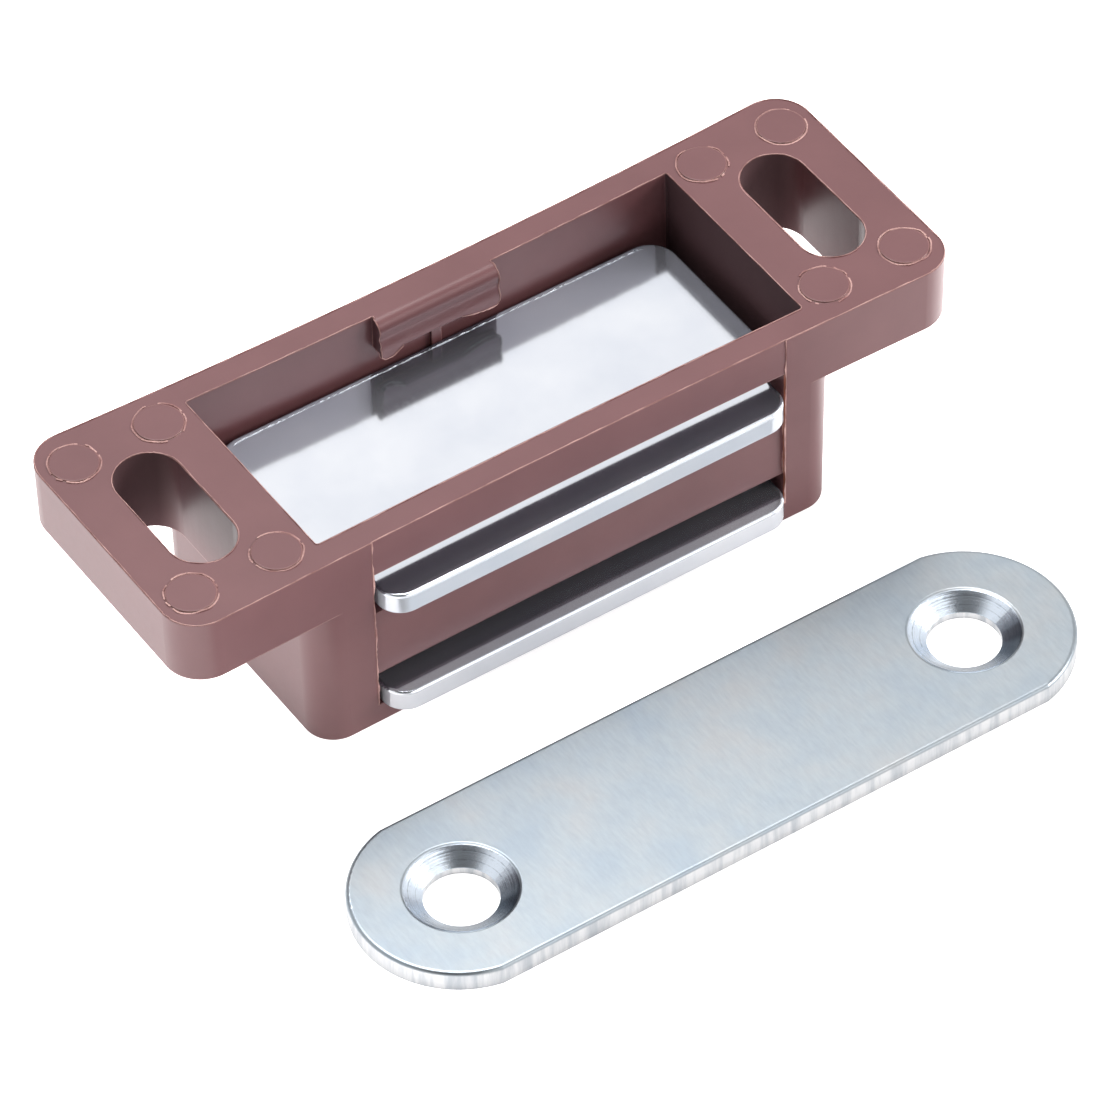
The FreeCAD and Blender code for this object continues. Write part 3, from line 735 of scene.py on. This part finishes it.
def merge_into(shape, other):
    """Add one mesh's faces to another."""
    mesh = bpy.data.meshes.new("part")
    other.to_mesh(mesh)
    other.free()
    shape.from_mesh(mesh)
    bpy.data.meshes.remove(mesh)


def up(edge):
    return Vector((0.0, 0.0, 1.0))


def side_normal(edge):
    """Normal of the more upright of an edge's two faces."""
    return min((face.normal for face in edge.link_faces), key=lambda n: abs(n.z)).normalized()


def outwards(edge):
    return sum((face.normal for face in edge.link_faces), Vector()).normalized()


def housing_flash():
    """Torn plastic along the mounting face's outlines, the marks, the hook and the openings."""
    solid = welded("housing")
    fins = bmesh.new()

    def on_face(p):
        return abs(p.z - FACE_Z) < 0.004 * MM

    def just_inside(edge):
        # feet stand on the top face: inside an outer edge, outside a mark's foot
        return side_normal(edge) * (-0.06 * MM if edge.is_convex else 0.05 * MM)

    outlines = sharp_edges(solid, on_face)
    marks = [e for e in outlines if not e.is_convex]
    rims = [e for e in outlines if e.is_convex]
    add_fins(fins, rims, up, just_inside, height=0.06 * MM, thickness=0.04 * MM, seed=3.1)
    add_fins(fins, marks, up, just_inside, height=0.07 * MM, thickness=0.10 * MM, seed=7.7,
             step=0.16 * MM, wobble=0.10 * MM, gaps=0.14)

    def on_hook(p):
        return abs(p.x) < 4.6 * MM and p.y > CATCH_Y + 5.6 * MM and 12.8 * MM < p.z < FACE_Z + 0.01 * MM

    lips = [e for e in sharp_edges(solid, on_hook) if not all(on_face(v.co) for v in e.verts)]
    lips = [e for e in lips if e.is_convex]
    add_fins(fins, lips, outwards, lambda edge: -0.02 * MM * outwards(edge),
             height=0.10 * MM, thickness=0.04 * MM, seed=5.3)

    def on_opening(p):
        return p.y < CATCH_Y - 9.1 * MM and abs(abs(p.x - OPENING_X) - OPENING_HALF_LENGTH) < 0.02 * MM

    ends = [e for e in sharp_edges(solid, on_opening) if abs(e.verts[0].co.z - e.verts[1].co.z) > 0.2 * MM]

    def across(edge):
        return Vector((-math.copysign(1.0, edge.verts[0].co.x), 0.0, 0.0))

    add_fins(fins, ends, across, lambda edge: Vector((0.0, 0.02 * MM, 0.0)),
             height=0.13 * MM, thickness=0.04 * MM, seed=9.2)
    solid.free()
    add_piece("housing_flash", fins, flash, "root")


def plate_burr():
    """Sheared burr along the far upper edge of the upper pole plate."""
    solid = welded("upper_pole_plate")
    top = max(v.co.z for v in solid.verts)
    back = max(v.co.y for v in solid.verts)

    def on_far_rim(p):
        return abs(p.z - top) < 0.002 * MM and p.y > back - 0.4 * MM

    fins = bmesh.new()
    rim = [e for e in solid.edges if all(on_far_rim(v.co) for v in e.verts)]
    rim = [e for e in rim if abs((e.verts[0].co - e.verts[1].co).normalized().x) > 0.9]
    add_fins(fins, rim, up, lambda edge: Vector((0, -0.12 * MM, 0)),
             height=0.07 * MM, thickness=0.06 * MM, seed=2.6, step=0.12 * MM, wobble=0.05 * MM, tear=3500.0,
             facing=Vector((0.0, 1.0, 0.0)))
    solid.free()
    add_piece("plate_burr", fins, steel, "root")


# noise_vector draws its offsets from a seed that is the clock's unless it is set
noise.seed_set(SWAY_SEED)
housing_flash()
plate_burr()


# Stage, lights and camera

def make_floor():
    """Pale floor that also gives light, more on the left, at the back right and in front."""
    mesh = bpy.data.meshes.new("floor")
    shape = bmesh.new()
    bmesh.ops.create_grid(shape, x_segments=1, y_segments=1, size=3.0)
    shape.to_mesh(mesh)
    shape.free()
    floor = bpy.data.objects.new("floor", mesh)
    bpy.context.scene.collection.objects.link(floor)
    floor.location = (0, 0, -0.00002)
    material, tree, skin = new_material("pale_floor")
    skin.inputs["Base Color"].default_value = (0.88, 0.88, 0.88, 1)
    skin.inputs["Roughness"].default_value = 0.9
    skin.inputs["Specular IOR Level"].default_value = 0.0
    skin.inputs["Emission Color"].default_value = (1, 1, 1, 1)
    place = add_node(tree, "ShaderNodeTexCoord", (-900, -300))
    across = add_node(tree, "ShaderNodeVectorMath", (-700, -300), operation="DOT_PRODUCT")
    across.inputs[1].default_value = (-0.9, 0.45, 0)
    glow = add_node(tree, "ShaderNodeMapRange", (-450, -300), interpolation_type="SMOOTHSTEP")
    spread(glow, 5 * MM, 30 * MM, 0.08, 1.35)
    right = add_node(tree, "ShaderNodeVectorMath", (-700, -500), operation="DOT_PRODUCT")
    right.inputs[1].default_value = (0.6, 0.8, 0)
    right_glow = add_node(tree, "ShaderNodeMapRange", (-450, -800), interpolation_type="SMOOTHSTEP")
    spread(right_glow, 11 * MM, 22 * MM, 0.0, 1.4)
    front = add_node(tree, "ShaderNodeVectorMath", (-700, -1100), operation="DOT_PRODUCT")
    front.inputs[1].default_value = (0.35, -0.94, 0)
    front_glow = add_node(tree, "ShaderNodeMapRange", (-450, -1100), interpolation_type="SMOOTHSTEP")
    spread(front_glow, 0, 11 * MM, 0.0, 0.4)
    sides = add_node(tree, "ShaderNodeMath", (-300, -700), operation="ADD")
    both = add_node(tree, "ShaderNodeMath", (-300, -300), operation="ADD")
    path = add_node(tree, "ShaderNodeLightPath", (-450, -600))
    seen = add_node(tree, "ShaderNodeMath", (-200, -400), operation="MULTIPLY_ADD")
    seen.inputs[1].default_value = 0.55
    tree.links.new(place.outputs["Object"], across.inputs[0])
    tree.links.new(across.outputs["Value"], glow.inputs["Value"])
    tree.links.new(place.outputs["Object"], right.inputs[0])
    tree.links.new(right.outputs["Value"], right_glow.inputs["Value"])
    tree.links.new(glow.outputs["Result"], both.inputs[0])
    tree.links.new(place.outputs["Object"], front.inputs[0])
    tree.links.new(front.outputs["Value"], front_glow.inputs["Value"])
    tree.links.new(right_glow.outputs["Result"], sides.inputs[0])
    tree.links.new(front_glow.outputs["Result"], sides.inputs[1])
    tree.links.new(sides.outputs["Value"], both.inputs[1])
    tree.links.new(path.outputs["Is Camera Ray"], seen.inputs[0])
    tree.links.new(both.outputs["Value"], seen.inputs[2])
    tree.links.new(seen.outputs["Value"], skin.inputs["Emission Strength"])
    mesh.materials.append(material)


def make_world():
    """White studio with one dark zone that only reflections see, and dim for dull faces."""
    world = bpy.data.worlds.new("studio")
    bpy.context.scene.world = world
    world.use_nodes = True
    tree = world.node_tree
    light = tree.nodes["Background"]
    light.inputs["Color"].default_value = (1, 1, 1, 1)
    path = add_node(tree, "ShaderNodeLightPath", (-1100, 100))
    first = add_node(tree, "ShaderNodeMath", (-900, 0), operation="LESS_THAN")
    first.inputs[1].default_value = 0.5
    mirrored = add_node(tree, "ShaderNodeMath", (-700, 0), operation="MULTIPLY")
    way = add_node(tree, "ShaderNodeTexCoord", (-1100, -300))
    facing = add_node(tree, "ShaderNodeVectorMath", (-900, -300), operation="DOT_PRODUCT")
    facing.inputs[1].default_value = (-0.29, -0.45, 0.84)
    wall = add_node(tree, "ShaderNodeMapRange", (-700, -300), interpolation_type="SMOOTHSTEP")
    spread(wall, 0.94, 0.74, 0.10)
    level = add_node(tree, "ShaderNodeMapRange", (-450, 0))
    spread(level, 0.0, 1.0, 0.10)
    shown = add_node(tree, "ShaderNodeMath", (-220, 100), operation="MAXIMUM")
    link = tree.links.new
    link(path.outputs["Diffuse Depth"], first.inputs[0])
    link(first.outputs["Value"], mirrored.inputs[0])
    link(path.outputs["Is Glossy Ray"], mirrored.inputs[1])
    link(way.outputs["Generated"], facing.inputs[0])
    link(facing.outputs["Value"], wall.inputs["Value"])
    link(mirrored.outputs["Value"], level.inputs["Value"])
    link(wall.outputs["Result"], level.inputs["To Max"])
    link(path.outputs["Is Camera Ray"], shown.inputs[0])
    link(level.outputs["Result"], shown.inputs[1])
    link(shown.outputs["Value"], light.inputs["Strength"])


def make_lamp(name, place, size, watts):
    """Round area lamp that faces the object."""
    data = bpy.data.lights.new(name, "AREA")
    data.shape = "DISK"
    data.size = size
    data.energy = watts
    lamp = bpy.data.objects.new(name, data)
    lamp.location = place
    lamp.rotation_euler = (-Vector(place)).to_track_quat("-Z", "Y").to_euler()
    bpy.context.scene.collection.objects.link(lamp)


def make_camera():
    data = bpy.data.cameras.new("camera")
    data.lens = 266.904
    data.sensor_width = 36.0
    data.clip_start = 0.01
    camera = bpy.data.objects.new("camera", data)
    camera.location = (-0.196162, -0.297287, 0.374176)
    camera.rotation_euler = [math.radians(a) for a in (44.19436, 0.95626, -33.94099)]
    bpy.context.scene.collection.objects.link(camera)
    bpy.context.scene.camera = camera


make_floor()
make_world()
make_lamp("overhead_box", (0.04, 0.22, 0.76), 0.55, 5.1)
make_lamp("right_box", (0.37, -0.21, 0.20), 0.24, 1.05)
make_lamp("front_box", (0.12, -0.55, 0.45), 0.45, 0.85)
make_camera()
bpy.context.scene.view_settings.view_transform = "Standard"
